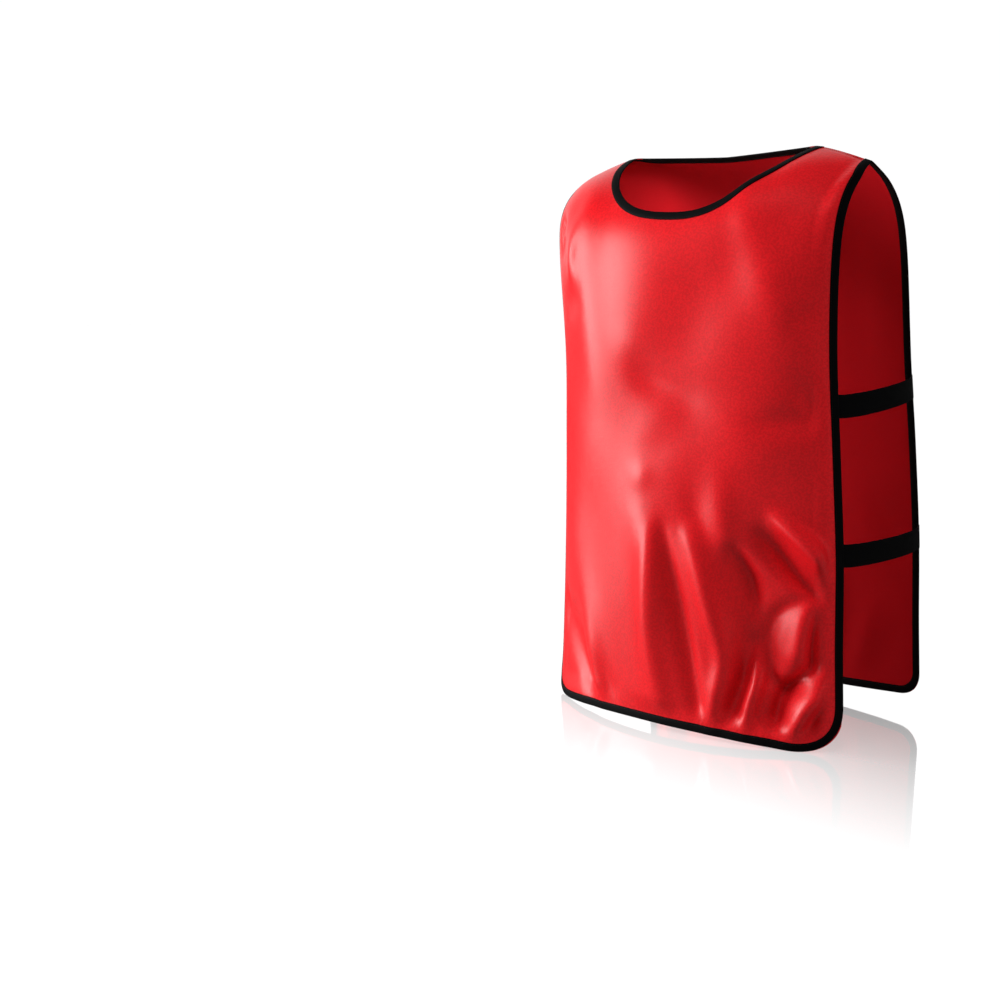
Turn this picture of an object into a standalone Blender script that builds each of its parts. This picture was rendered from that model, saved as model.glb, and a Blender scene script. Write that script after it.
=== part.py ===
"""A training bib: a sleeveless satin pullover with open sides, in the form it has when worn.

Metres, +Z up. The front faces -Y and the wearer's left is +X. The origin lies between the
wearer's shoulders, level with the highest point of the shoulder seams. Each panel is cut in two
coordinates: x, across the body, and run, the length of cloth down from the shoulder seam.
"""

import math
from collections import namedtuple

import bmesh
import bpy
import numpy as np
from mathutils import Vector
from mathutils.geometry import delaunay_2d_cdt

# Cut of the garment.
NECK_HALF = 0.132
SHOULDER_HALF = 0.1925
SHOULDER_FALL = 0.021  # neck point to shoulder tip
HEM_CORNER = 0.050

# Form of the filled-out body. Each row is one horizontal section, y at its middle and at its edge.
Section = namedtuple("Section", "drop half_width front_middle front_edge back_edge back_middle")
SECTIONS = (
    Section(0.000, 0.1971, -0.145, -0.073, 0.087, 0.099),
    Section(0.050, 0.1971, -0.145, -0.073, 0.087, 0.099),
    Section(0.118, 0.1919, -0.137, -0.065, 0.101, 0.113),
    Section(0.230, 0.1874, -0.126, -0.054, 0.120, 0.132),
    Section(0.342, 0.1908, -0.119, -0.047, 0.133, 0.145),
    Section(0.454, 0.1949, -0.115, -0.042, 0.141, 0.153),
    Section(0.566, 0.1971, -0.114, -0.042, 0.144, 0.156),
    Section(0.622, 0.1990, -0.115, -0.042, 0.143, 0.155),
    Section(0.700, 0.2025, -0.117, -0.045, 0.140, 0.152),
)

# Arch over the shoulder: the drop in which the cloth comes forward, and how square its top is.
ARCH_DROP_NECK = 0.050
ARCH_DROP_TIP = 0.0325
ARCH_POWER_NECK = 0.86
ARCH_POWER_TIP = 0.96
ARCH_FROM = 0.6 * NECK_HALF  # x at which it begins to change from the neck's arch to the tip's
ARCH_RUN = 0.070  # extra run of cloth in the arch
ARCH_RUN_DROP = 0.030

# Walls and clearances.
CLOTH = 0.0012
BINDING_WIDTH = 0.0095
BINDING_WALL = 0.0010
ELASTIC_WIDTH = 0.026
ELASTIC_WALL = 0.0015
ELASTIC_LAP = 0.007  # strap sewn inside the binding
GAP = 0.0003
EASE = 0.0004  # between a panel and the binding folded over it
STRIP = BINDING_WIDTH - BINDING_WALL - EASE  # row of faces under the binding

# Straps: where each pair leaves the front and reaches the back, and how freely it bows out.
Strap = namedtuple("Strap", "level front_drop back_drop")
STRAPS = (Strap("upper", 0.286, 0.271), Strap("lower", 0.452, 0.451))
STRAP_BOW = 0.055

# Spacing of the mesh.
STATION = 0.017
STRAP_STEPS = 14
LEAST_ROOM = 0.55  # nearest that two mesh points may lie, as a share of the panel's spacing

# Largest folds. A fold runs from its start to its end, bent sideways; a negative height is a trough.
Fold = namedtuple("Fold", "x0 drop0 x1 drop1 bend half_width height")
FRONT_FOLDS = (
    Fold(0.127, 0.049, -0.043, 0.271, 0.010, 0.034, -0.004),
    Fold(-0.016, 0.352, -0.108, 0.498, 0.008, 0.024, 0.004),
    Fold(0.083, 0.301, 0.159, 0.420, 0.000, 0.026, -0.004),
    Fold(-0.004, 0.450, 0.050, 0.690, 0.008, 0.015, -0.007),
    Fold(0.010, 0.411, 0.075, 0.700, -0.010, 0.017, 0.007),
    Fold(0.057, 0.420, 0.106, 0.690, -0.014, 0.014, -0.007),
    Fold(0.089, 0.376, 0.198, 0.522, 0.003, 0.013, -0.008),
    Fold(0.114, 0.375, 0.198, 0.503, 0.002, 0.012, 0.007),
    Fold(0.098, 0.425, 0.136, 0.498, 0.000, 0.013, 0.005),
    Fold(0.177, 0.497, 0.130, 0.575, 0.000, 0.015, 0.007),
    Fold(0.105, 0.550, 0.193, 0.586, -0.006, 0.012, -0.007),
    Fold(0.117, 0.567, 0.101, 0.700, 0.000, 0.010, 0.006),
    Fold(0.134, 0.587, 0.130, 0.710, 0.000, 0.011, -0.006),
    Fold(0.197, 0.553, 0.130, 0.690, 0.006, 0.014, 0.008),
    Fold(0.196, 0.597, 0.168, 0.680, 0.000, 0.010, -0.005),
    Fold(-0.187, 0.518, -0.079, 0.690, 0.008, 0.015, -0.007),
    Fold(-0.143, 0.506, -0.065, 0.680, 0.006, 0.014, 0.005),
    Fold(-0.086, 0.595, -0.051, 0.700, 0.000, 0.010, -0.006),
)
BACK_FOLDS = (
    Fold(-0.120, 0.060, 0.060, 0.280, -0.010, 0.034, -0.005),
    Fold(0.020, 0.420, -0.050, 0.700, 0.008, 0.018, -0.007),
    Fold(0.060, 0.440, 0.020, 0.720, 0.006, 0.018, 0.006),
    Fold(-0.090, 0.400, -0.185, 0.540, 0.004, 0.015, -0.007),
    Fold(0.110, 0.430, 0.190, 0.560, 0.004, 0.016, 0.006),
    Fold(0.130, 0.560, 0.098, 0.720, 0.000, 0.014, -0.006),
    Fold(-0.150, 0.560, -0.110, 0.720, 0.000, 0.014, 0.006),
)
FOLD_TAPER = 0.3  # share of a fold's length over which each end dies away
SIDE_CALM = 0.030  # folds die away this near a side edge
TOP_CALM = 0.060
HEM_CALM = 0.040
HEM_FOLD = 0.35  # share of a fold's height that reaches the hem

# The two panels. The neck power is above 2 where the scoop is fuller than a parabola, the hem
# rises to its middle, and the roundness is the share of the section's ellipse that it goes round.
Panel = namedtuple("Panel", "facing length neck_drop neck_power hem_rise roundness spacing folds")
FRONT = Panel(-1, 0.673, 0.0707, 2.25, 0.011, 0.987, 0.016, FRONT_FOLDS)
BACK = Panel(1, 0.656, 0.005, 1.2, 0.0, 0.8, 0.021, BACK_FOLDS)

RED = (0.640, 0.010, 0.014, 1.0)
BLACK = (0.006, 0.006, 0.006, 1.0)


def smooth_step(value):
    """0 below 0, 1 above 1, and an S between them."""
    value = np.clip(value, 0.0, 1.0)
    return value * value * (3.0 - 2.0 * value)


def read_section(drop, column):
    """One column of SECTIONS at any drop, on a smooth curve through the rows."""
    drops = np.array([row.drop for row in SECTIONS])
    values = np.array([getattr(row, column) for row in SECTIONS])
    slopes = np.gradient(values, drops)
    drop = np.clip(drop, drops[0], drops[-1])
    row = np.clip(np.searchsorted(drops, drop, side="right") - 1, 0, len(drops) - 2)
    height = drops[row + 1] - drops[row]
    part = (drop - drops[row]) / height
    bend = part * part * (3.0 - 2.0 * part)
    rise = part * (1.0 - part) ** 2 * slopes[row] - part * part * (1.0 - part) * slopes[row + 1]
    return values[row] * (1.0 - bend) + values[row + 1] * bend + rise * height


def shoulder_drop(x):
    """Drop of the shoulder seam's line below the neck point."""
    return SHOULDER_FALL * np.maximum(np.abs(x) - NECK_HALF, 0.0) / (SHOULDER_HALF - NECK_HALF)


def run_of(depth):
    """Run of cloth to a point this deep below the shoulder line."""
    return depth + ARCH_RUN * (1.0 - np.exp(-depth / ARCH_RUN_DROP))


def depth_of(run):
    """Depth below the shoulder line at this run, the inverse of run_of."""
    depths = np.linspace(0.0, SECTIONS[-1].drop, 2000)
    return np.interp(run, run_of(depths), depths)


def body_point(x, run, panel):
    """Point of a panel's inner face, before its folds."""
    depth = depth_of(run)
    drop = depth + shoulder_drop(x)
    across = np.clip(x / read_section(drop, "half_width"), -1.0, 1.0)
    flat = math.sqrt(1.0 - panel.roundness**2)
    bow = (np.sqrt(1.0 - (panel.roundness * across) ** 2) - flat) / (1.0 - flat)
    name = "front" if panel is FRONT else "back"
    middle, edge = read_section(drop, f"{name}_middle"), read_section(drop, f"{name}_edge")
    outward = np.clip((np.abs(x) - ARCH_FROM) / (SHOULDER_HALF - ARCH_FROM), 0.0, 1.0)
    arch_drop = ARCH_DROP_NECK + (ARCH_DROP_TIP - ARCH_DROP_NECK) * outward
    power = ARCH_POWER_NECK + (ARCH_POWER_TIP - ARCH_POWER_NECK) * outward
    arch = (1.0 - np.exp(-np.maximum(depth, 0.0) / arch_drop)) ** power
    y = (edge + (middle - edge) * bow) * arch + panel.facing * GAP / 2
    return np.stack(np.broadcast_arrays(x, y, -drop), axis=-1)


def normal_of(surface, x, run, panel):
    """Unit normal, pointing away from the body, of a surface given as a function."""
    step = 0.0006
    run = np.maximum(run, step)
    across = surface(x + step, run, panel) - surface(x - step, run, panel)
    down = surface(x, run + step, panel) - surface(x, run - step, panel)
    normal = panel.facing * np.cross(across, down)
    return normal / np.linalg.norm(normal, axis=-1, keepdims=True)


def fold_height(x, run, panel):
    """How far the folds lift the cloth off the body form."""
    drop = np.minimum(depth_of(run) + shoulder_drop(x), panel.length - STRIP)
    height = np.zeros(np.broadcast(x, run).shape)
    for fold in panel.folds:
        along = np.array((fold.x1 - fold.x0, fold.drop1 - fold.drop0))
        size = np.linalg.norm(along)
        along = along / size
        part = ((x - fold.x0) * along[0] + (drop - fold.drop0) * along[1]) / size
        aside = (drop - fold.drop0) * along[0] - (x - fold.x0) * along[1]
        aside = aside - fold.bend * 4.0 * part * (1.0 - part)
        fade = smooth_step(part / FOLD_TAPER) * smooth_step((1.0 - part) / FOLD_TAPER)
        height = height + fold.height * fade * np.exp(-((aside / fold.half_width) ** 2))
    side = smooth_step((read_section(drop, "half_width") - np.abs(x)) / SIDE_CALM)
    hem = HEM_FOLD + (1.0 - HEM_FOLD) * smooth_step((panel.length - drop) / HEM_CALM)
    return height * side * hem * smooth_step(drop / TOP_CALM)


def cloth_point(x, run, panel):
    """Point of a panel's inner face, with its folds."""
    normal = normal_of(body_point, x, run, panel)
    return body_point(x, run, panel) + normal * fold_height(x, run, panel)[..., None]


def evenly(curve, spacing):
    """The same polyline with its points about this far apart."""
    steps = np.linalg.norm(np.diff(curve, axis=0), axis=1)
    travelled = np.concatenate([[0.0], np.cumsum(steps)])
    places = np.linspace(0.0, travelled[-1], round(travelled[-1] / spacing) + 1)
    return np.stack([np.interp(places, travelled, curve[:, i]) for i in (0, 1)], axis=1)


def cut_point(x, drop):
    return np.stack([x, run_of(np.maximum(drop - shoulder_drop(x), 0.0))], axis=-1)


def mirrored(half):
    """A chain that ends at the middle, carried on to its mirror image."""
    other = half[-2::-1] * np.array((-1.0, 1.0))
    half[-1, 0] = 0.0
    return np.concatenate([half, other])


def side_and_hem(panel):
    """Cut line from the left shoulder tip, down the side and along the hem, to the right tip."""
    drops = np.linspace(SHOULDER_FALL, panel.length - HEM_CORNER, 400)
    widen = smooth_step((drops - SHOULDER_FALL) / SHOULDER_FALL)
    halves = SHOULDER_HALF + (read_section(drops, "half_width") - SHOULDER_HALF) * widen
    turn = np.linspace(0.0, math.pi / 2, 40)[1:]
    corner = halves[-1] - HEM_CORNER
    hem_x = np.concatenate([corner + HEM_CORNER * np.cos(turn), np.linspace(corner, 0.0, 60)[1:]])
    hem_drop = panel.length - HEM_CORNER * (1.0 - np.sin(turn))
    hem_drop = np.concatenate([hem_drop, np.full(len(hem_x) - len(turn), panel.length)])
    hem_drop = hem_drop - panel.hem_rise * (1.0 - (hem_x / halves[-1]) ** 2)
    x, drop = np.concatenate([halves, hem_x]), np.concatenate([drops, hem_drop])
    return mirrored(evenly(cut_point(x, drop), STATION))


def neckline(panel):
    """Cut line of the neck, from the left neck point to the right one."""
    x = np.linspace(NECK_HALF, 0.0, 200)
    drop = panel.neck_drop * (1.0 - (x / NECK_HALF) ** panel.neck_power)
    return mirrored(evenly(cut_point(x, drop), STATION))


def moved_in(chain, inward_at_seam, panel):
    """The chain moved STRIP into the panel. Its ends stay on the shoulder seam."""
    along = np.gradient(chain, axis=0)
    along = along / np.linalg.norm(along, axis=1, keepdims=True)
    inward = np.stack([-along[:, 1], along[:, 0]], axis=1) * inward_at_seam
    level = np.stack([-np.sign(chain[:, 0]) * inward_at_seam, np.zeros(len(chain))], axis=1)
    places = np.arange(len(chain))
    near_end = np.minimum(places, places[::-1]) * STATION
    share = smooth_step(near_end / (3 * STATION))[:, None]
    inward = inward * share + level * (1.0 - share)
    inward = inward / np.linalg.norm(inward, axis=1, keepdims=True)
    inward[[0, -1], 1] = 0.0
    moved = chain + inward * STRIP
    reach = np.linalg.norm(cloth_point(*moved.T, panel) - cloth_point(*chain.T, panel), axis=1)
    return chain + inward * STRIP * (STRIP / reach)[:, None]


def inside(polygon, points):
    """Which points lie in the polygon."""
    ends = np.roll(polygon, -1, axis=0)
    found = np.zeros(len(points), bool)
    for (x0, y0), (x1, y1) in zip(polygon, ends):
        crosses = (y0 > points[:, 1]) != (y1 > points[:, 1])
        slope = (x1 - x0) / (y1 - y0) if y1 != y0 else 0.0
        found ^= crosses & (points[:, 0] < x0 + slope * (points[:, 1] - y0))
    return found


def far_from(others, points, distance):
    """Which points keep this distance from all the others."""
    apart = np.linalg.norm(points[:, None] - others[None], axis=2)
    return apart.min(axis=1) >= distance


def fold_points(panel):
    """Points along each fold's crest and at its two feet, so that the mesh follows it."""
    rows = []
    for fold in panel.folds:
        start, end = np.array((fold.x0, fold.drop0)), np.array((fold.x1, fold.drop1))
        size = np.linalg.norm(end - start)
        sideways = np.array((-(end - start)[1], (end - start)[0])) / size
        parts = np.linspace(0.0, 1.0, round(size / (1.8 * fold.half_width)) + 1)[:, None]
        crest = start + (end - start) * parts + sideways * fold.bend * 4.0 * parts * (1.0 - parts)
        for aside in (0.0, -1.1, 1.1):
            rows.append(crest + sideways * aside * fold.half_width)
    points = np.concatenate(rows)
    return cut_point(points[:, 0], points[:, 1])


def inner_points(outline, panel):
    """Points inside the outline: those of the folds, then a staggered grid between them."""
    spacing = panel.spacing
    room = LEAST_ROOM * spacing
    edge = evenly(np.concatenate([outline, outline[:1]]), room / 2)
    chosen = np.zeros((0, 2))
    low, high = outline.min(axis=0), outline.max(axis=0)
    grid = []
    for row, run in enumerate(np.arange(low[1], high[1], spacing * math.sqrt(0.75))):
        columns = np.arange(-16, 17) + 0.5 * (row % 2)
        grid.append(np.stack([columns * spacing, np.full(len(columns), run)], axis=1))
    for candidates in (fold_points(panel), np.concatenate(grid)):
        candidates = candidates[inside(outline, candidates)]
        candidates = candidates[far_from(edge, candidates, room)]
        for point in candidates:
            if len(chosen) == 0 or far_from(chosen, point[None], room)[0]:
                chosen = np.concatenate([chosen, point[None]])
    return chosen


def split_face(mesh, corners, from_first):
    """A four-cornered face as two triangles, cut from its first corner or from its second."""
    a, b, c, d = corners
    for triangle in ((a, b, c), (a, c, d)) if from_first else ((a, b, d), (b, c, d)):
        mesh.faces.new(triangle)


def panel_surface(panel):
    """A panel as an open mesh of its inner face, with its bound edges as chains of vertices.

    Each chain is a list of pairs: a vertex on the cut edge, and the one a strip's width inside.
    """
    edge, neck = side_and_hem(panel), neckline(panel)
    edge_in, neck_in = moved_in(edge, 1.0, panel), moved_in(neck, -1.0, panel)
    seam_count = round((edge_in[0, 0] - neck_in[0, 0]) / STATION)
    seam_x = np.linspace(edge_in[-1, 0], neck_in[-1, 0], seam_count + 1)[1:-1]
    seam = np.stack([seam_x, np.zeros(len(seam_x))], axis=1)
    other_seam = seam[::-1] * np.array((-1.0, 1.0))
    outline = np.concatenate([edge_in, seam, neck_in[::-1], other_seam])
    points = np.concatenate([outline, inner_points(outline, panel)])
    loop = list(range(len(outline)))
    flat, _, faces, sources, _, _ = delaunay_2d_cdt(
        [Vector(point) for point in points], [], [loop], 1, 1e-7
    )
    mesh = bmesh.new()
    places = cloth_point(*np.array([tuple(point) for point in flat]).T, panel)
    vertices = [mesh.verts.new(place) for place in places]
    for face in faces:
        mesh.faces.new([vertices[index] for index in face])
    by_source = {origin: vertices[i] for i, found in enumerate(sources) for origin in found}
    neck_start = len(edge_in) + len(seam)
    chains = []
    for chain, first, step in ((edge, 0, 1), (neck, neck_start + len(neck) - 1, -1)):
        outer = [mesh.verts.new(place) for place in cloth_point(*chain.T, panel)]
        inner = [by_source[first + step * i] for i in range(len(chain))]
        for i in range(len(chain) - 1):
            corners = (outer[i], outer[i + 1], inner[i + 1], inner[i])
            split_face(mesh, corners, 2 * i < len(chain) - 1)
        chains.append(list(zip(outer, inner)))
    bmesh.ops.recalc_face_normals(mesh, faces=mesh.faces)
    if sum(face.normal.y * face.calc_area() for face in mesh.faces) * panel.facing < 0:
        bmesh.ops.reverse_faces(mesh, faces=mesh.faces)
    mesh.normal_update()
    return mesh, chains


Frame = namedtuple("Frame", "place normal inward inner_normal")


def strip_frames(chain):
    """At each station of a bound edge: its place and normal, the way to the vertex a strip's
    width inside, and the normal there."""
    return [Frame(v.co.copy(), v.normal.copy(), w.co - v.co, w.normal.copy()) for v, w in chain]


def shared_frame(one, other):
    """The station at a seam, with its normals long enough to clear both panels."""
    place, normal, inward, inner_normal = [(a + b) / 2 for a, b in zip(one, other)]
    return Frame(place, normal / normal.length_squared, inward, inner_normal / inner_normal.length_squared)


def binding_section():
    """Outline of the folded binding: (into the panel, off the panel) round a U."""
    foot, back = STRIP, -EASE - BINDING_WALL
    top, bottom = CLOTH + EASE, -EASE
    round_off = 0.6 * BINDING_WALL
    return (
        (foot, top + BINDING_WALL),
        (back + round_off, top + BINDING_WALL),
        (back, top + BINDING_WALL - round_off),
        (back, bottom - BINDING_WALL + round_off),
        (back + round_off, bottom - BINDING_WALL),
        (foot, bottom - BINDING_WALL),
        (foot, bottom),
        (-EASE, bottom),
        (-EASE, top),
        (foot, top),
    )


def binding_mesh(front, back):
    """The binding's section carried round the closed ring that two panels' edges make."""
    ring = [shared_frame(front[0], back[0])] + front[1:-1]
    ring += [shared_frame(front[-1], back[-1])] + back[-2:0:-1]
    falling = [2 * i < len(chain) - 1 for chain in (front, back) for i in range(len(chain) - 1)]
    mesh = bmesh.new()
    section = binding_section()
    loops = []
    for frame in ring:
        points = []
        for into, off in section:
            share = into / STRIP
            normal = frame.normal.lerp(frame.inner_normal, max(share, 0.0))
            points.append(frame.place + frame.inward * share + normal * off)
        loops.append([mesh.verts.new(point) for point in points])
    for loop, following, falls in zip(loops, loops[1:] + loops[:1], falling):
        for i in range(len(loop)):
            j = (i + 1) % len(loop)
            outer_first = section[i][0] < section[j][0]
            split_face(mesh, (loop[i], loop[j], following[j], following[i]), outer_first == falls)
    bmesh.ops.recalc_face_normals(mesh, faces=mesh.faces)
    return mesh


def strap_end(drop, panel, side):
    """Where a strap leaves a panel's edge at this drop: place, inward direction and normal."""
    half = float(read_section(drop, "half_width"))
    run = run_of(drop - shoulder_drop(half))
    place = cloth_point(np.array(half), np.array(run), panel)
    inner = cloth_point(np.array(half - STRIP), np.array(run), panel)
    normal = normal_of(cloth_point, np.array(half - STRIP / 2), np.array(run), panel)
    inward = (inner - place) / np.linalg.norm(inner - place)
    return [vector * np.array((side, 1.0, 1.0)) for vector in (place, inward, normal)]


def strap_line(strap, up, side):
    """Line along a strap this far above its middle, lapped inside the front and back bindings."""
    under = -(2 * EASE + BINDING_WALL + ELASTIC_WALL / 2)
    start, start_in, start_normal = strap_end(strap.front_drop - up, FRONT, side)
    end, end_in, end_normal = strap_end(strap.back_drop - up, BACK, side)
    start, end = start + start_normal * under, end + end_normal * under
    parts = np.linspace(0.0, 1.0, STRAP_STEPS + 1)[:, None]
    eased = smooth_step(parts)
    leave = parts * (1.0 - parts) ** 2 * -start_in * STRAP_BOW
    arrive = parts * parts * (1.0 - parts) * -end_in * STRAP_BOW
    bow = start * (1.0 - eased) + end * eased + leave + arrive
    laps = start + start_in * ELASTIC_LAP, end + end_in * ELASTIC_LAP
    return np.concatenate([laps[:1], bow, laps[1:]])


def strap_surface(strap, side):
    """A strap's middle surface, as a grid bent to the lines along its lower and upper edge."""
    lines = [strap_line(strap, up * ELASTIC_WIDTH / 2, side) for up in (-1.0, 0.0, 1.0)]
    mesh = bmesh.new()
    bmesh.ops.create_grid(mesh, x_segments=len(lines[0]) - 1, y_segments=len(lines) - 1, size=1)
    mesh.verts.ensure_lookup_table()
    for vertex in mesh.verts:
        row, column = divmod(vertex.index, len(lines[0]))
        vertex.co = Vector(lines[row][column])
    return mesh


def fabric(name, colour, roughness):
    material = bpy.data.materials.new(name)
    material.use_nodes = True
    shader = material.node_tree.nodes["Principled BSDF"]
    shader.inputs["Base Color"].default_value = colour
    shader.inputs["Roughness"].default_value = roughness
    shader.inputs["Metallic"].default_value = 0.0
    return material


def add_piece(name, mesh, material, wall=None, offset=0.0):
    """A named object from a bmesh. A wall is the thickness that Solidify gives it."""
    data = bpy.data.meshes.new(name)
    mesh.to_mesh(data)
    mesh.free()
    data.shade_smooth()
    data.materials.append(material)
    piece = bpy.data.objects.new(name, data)
    collection.objects.link(piece)
    piece.parent = shoulders
    if wall:
        solidify = piece.modifiers.new("Wall", "SOLIDIFY")
        solidify.thickness = wall
        solidify.offset = offset
    return piece


for leftover in list(bpy.data.objects):
    bpy.data.objects.remove(leftover, do_unlink=True)

collection = bpy.data.collections.new("training_bib")
bpy.context.scene.collection.children.link(collection)
shoulders = bpy.data.objects.new("shoulders", None)
collection.objects.link(shoulders)

front_mesh, (front_edge, front_neck) = panel_surface(FRONT)
back_mesh, (back_edge, back_neck) = panel_surface(BACK)
neck_mesh = binding_mesh(strip_frames(front_neck), strip_frames(back_neck))
edge_mesh = binding_mesh(strip_frames(front_edge), strip_frames(back_edge))

add_piece("front_panel", front_mesh, fabric("front_satin", RED, 0.34), CLOTH, 1.0)
add_piece("back_panel", back_mesh, fabric("back_satin", RED, 0.34), CLOTH, 1.0)
add_piece("neck_binding", neck_mesh, fabric("neck_tape", BLACK, 0.70))
add_piece("edge_binding", edge_mesh, fabric("edge_tape", BLACK, 0.70))

for strap in STRAPS:
    for side_name, side_sign in (("left", 1.0), ("right", -1.0)):
        strap_name = f"strap_{strap.level}_{side_name}"
        elastic = fabric(f"{strap_name}_elastic", BLACK, 0.80)
        add_piece(strap_name, strap_surface(strap, side_sign), elastic, ELASTIC_WALL)
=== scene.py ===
import math

import bmesh
import bpy
import numpy as np
from mathutils import Matrix, Vector


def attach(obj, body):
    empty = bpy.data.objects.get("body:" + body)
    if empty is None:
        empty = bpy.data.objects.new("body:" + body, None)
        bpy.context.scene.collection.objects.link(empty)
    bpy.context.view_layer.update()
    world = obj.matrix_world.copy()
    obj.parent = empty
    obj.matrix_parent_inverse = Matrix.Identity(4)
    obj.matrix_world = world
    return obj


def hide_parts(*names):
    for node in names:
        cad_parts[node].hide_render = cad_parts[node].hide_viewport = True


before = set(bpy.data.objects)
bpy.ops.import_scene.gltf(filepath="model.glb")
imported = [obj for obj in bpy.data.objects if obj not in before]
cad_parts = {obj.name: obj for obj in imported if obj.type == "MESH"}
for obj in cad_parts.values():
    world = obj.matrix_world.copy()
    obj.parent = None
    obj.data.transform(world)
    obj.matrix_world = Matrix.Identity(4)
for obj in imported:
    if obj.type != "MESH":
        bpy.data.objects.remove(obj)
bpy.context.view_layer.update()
print("frame loaded:", sorted(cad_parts))


# angles in radians
cameraSetup = {
    "azimuth": 0.5811,
    "distance": 1.75,
    "height": -0.1532,
    "turn": 0.1502,      # looks this far to the left of the object's middle
    "pitch": 0.1078,     # looks down
    "lens": 51.94,
    "sensor": 36,
    "shiftY": -0.06,
}
studio = {
    "floorHeight": -0.6716,
    "floorSize": 30.0,
    "floorRough": 0.9,
    "floorGrey": 0.30,
    "worldStrength": 1.02,   # as the camera sees it
    "worldLight": 0.19,      # as it lights the bib
    "backdropEdges": (0.45, 0.75),   # cosines from straight behind the bib: the backdrop's edge, and full
    "floorGlow": 1.0,
    "mirrorShare": 0.68,
    "mirrorRough": 0.05,
    "mirrorFade": (-0.20, 0.50),     # distances in front of the bib: the mirror whole, and gone
    "lightsAim": (0, 0, -0.33),
    # name: azimuth and elevation of the light in degrees, distance, width, height, watts, seen in a sheen
    "lights": {
        "softboxFar": (-55, 2, 2.0, 0.9, 1.7, 69, True),
        "softboxNear": (95, 2, 2.0, 0.8, 1.5, 11.5, False),
        "softboxTop": (10, 60, 2.2, 1.4, 1.0, 18, False),
    },
}


def aimedAt(place, target):
    # matrix of something that looks along its own -Z at the target
    back = (place - target).normalized()
    right = Vector((0, 0, 1)).cross(back).normalized()
    up = back.cross(right)
    turned = Matrix((right, up, back)).transposed().to_4x4()
    turned.translation = place
    return turned


def makeCamera(setup):
    data = bpy.data.cameras.new("photoCamera")
    data.lens = setup["lens"]
    data.sensor_width = setup["sensor"]
    data.shift_y = setup["shiftY"]
    camera = bpy.data.objects.new("photoCamera", data)
    bpy.context.scene.collection.objects.link(camera)
    az, yaw, pitch = setup["azimuth"], setup["azimuth"] + setup["turn"], setup["pitch"]
    place = Vector((setup["distance"] * math.sin(az), -setup["distance"] * math.cos(az), setup["height"]))
    ahead = Vector((-math.sin(yaw) * math.cos(pitch), math.cos(yaw) * math.cos(pitch), -math.sin(pitch)))
    camera.matrix_world = aimedAt(place, place + ahead)
    bpy.context.scene.camera = camera


class Socket:
    # wraps a node's output, so that an expression on it adds Math nodes
    def __init__(self, shader, link):
        self.shader, self.link = shader, link

    def maths(self, operation, *others):
        values = {0: self.link}
        for place, other in enumerate(others, 1):
            values[place] = other.link if isinstance(other, Socket) else other
        return self.shader.node("ShaderNodeMath", {"operation": operation}, values)

    def __add__(self, other):
        return self.maths("ADD", other)

    def __radd__(self, other):
        return self.maths("ADD", other)

    def __sub__(self, other):
        return self.maths("SUBTRACT", other)

    def __rsub__(self, other):
        return (self * -1) + other

    def __mul__(self, other):
        return self.maths("MULTIPLY", other)

    def __rmul__(self, other):
        return self.maths("MULTIPLY", other)

    def sine(self):
        return self.maths("SINE")

    def steps(self, low, high):
        # 0 below low, 1 above high, smooth between
        return self.shader.node(
            "ShaderNodeMapRange",
            {"interpolation_type": "SMOOTHSTEP"},
            {"Value": self.link, "From Min": low, "From Max": high},
        )


class Shader:
    # one material's node tree
    def __init__(self, name, roughness, **fixed):
        self.material = bpy.data.materials.new(name)
        self.material.use_nodes = True
        self.tree = self.material.node_tree
        self.surface = self.tree.nodes["Principled BSDF"]
        self.surface.inputs["Roughness"].default_value = roughness
        for socket, value in fixed.items():
            self.surface.inputs[socket.replace("_", " ")].default_value = value

    @classmethod
    def of(cls, tree):
        # the same tools on a tree that isn't a material's
        shader = cls.__new__(cls)
        shader.tree = tree
        return shader

    def node(self, kind, settings=None, values=None, output=0):
        made = self.tree.nodes.new(kind)
        for name, value in (settings or {}).items():
            setattr(made, name, value)
        for name, value in (values or {}).items():
            value = value.link if isinstance(value, Socket) else value
            if isinstance(value, bpy.types.NodeSocket):
                self.tree.links.new(value, made.inputs[name])
            else:
                made.inputs[name].default_value = value
        return Socket(self, made.outputs[output])

    def attribute(self, name):
        return self.node("ShaderNodeAttribute", {"attribute_name": name}, output="Fac")

    def flatMap(self):
        # the piece's own UV map, in metres of cloth, as two numbers
        place = self.node("ShaderNodeUVMap", {"uv_map": "cut"})
        split = self.node("ShaderNodeSeparateXYZ", None, {0: place})
        return split, Socket(self, split.link.node.outputs[1])

    def noise(self, scale, detail):
        place = self.node("ShaderNodeTexCoord", output="Object")
        return self.node("ShaderNodeTexNoise", None, {"Vector": place, "Scale": scale, "Detail": detail})

    def mixed(self, factor, one, other):
        # a Mix node's inputs 6 and 7 are its colours, and its output 2 is the mixed one
        made = self.node("ShaderNodeMix", {"data_type": "RGBA"}, {0: factor}, output=2)
        for place, colour in ((6, one), (7, other)):
            if isinstance(colour, Socket):
                self.tree.links.new(colour.link, made.link.node.inputs[place])
            else:
                made.link.node.inputs[place].default_value = colour
        return made

    def feed(self, socket, value):
        self.tree.links.new(value.link, self.surface.inputs[socket])

    def bump(self, height, distance, strength):
        values = {"Height": height, "Distance": distance, "Strength": strength}
        self.feed("Normal", self.node("ShaderNodeBump", None, values))


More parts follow.
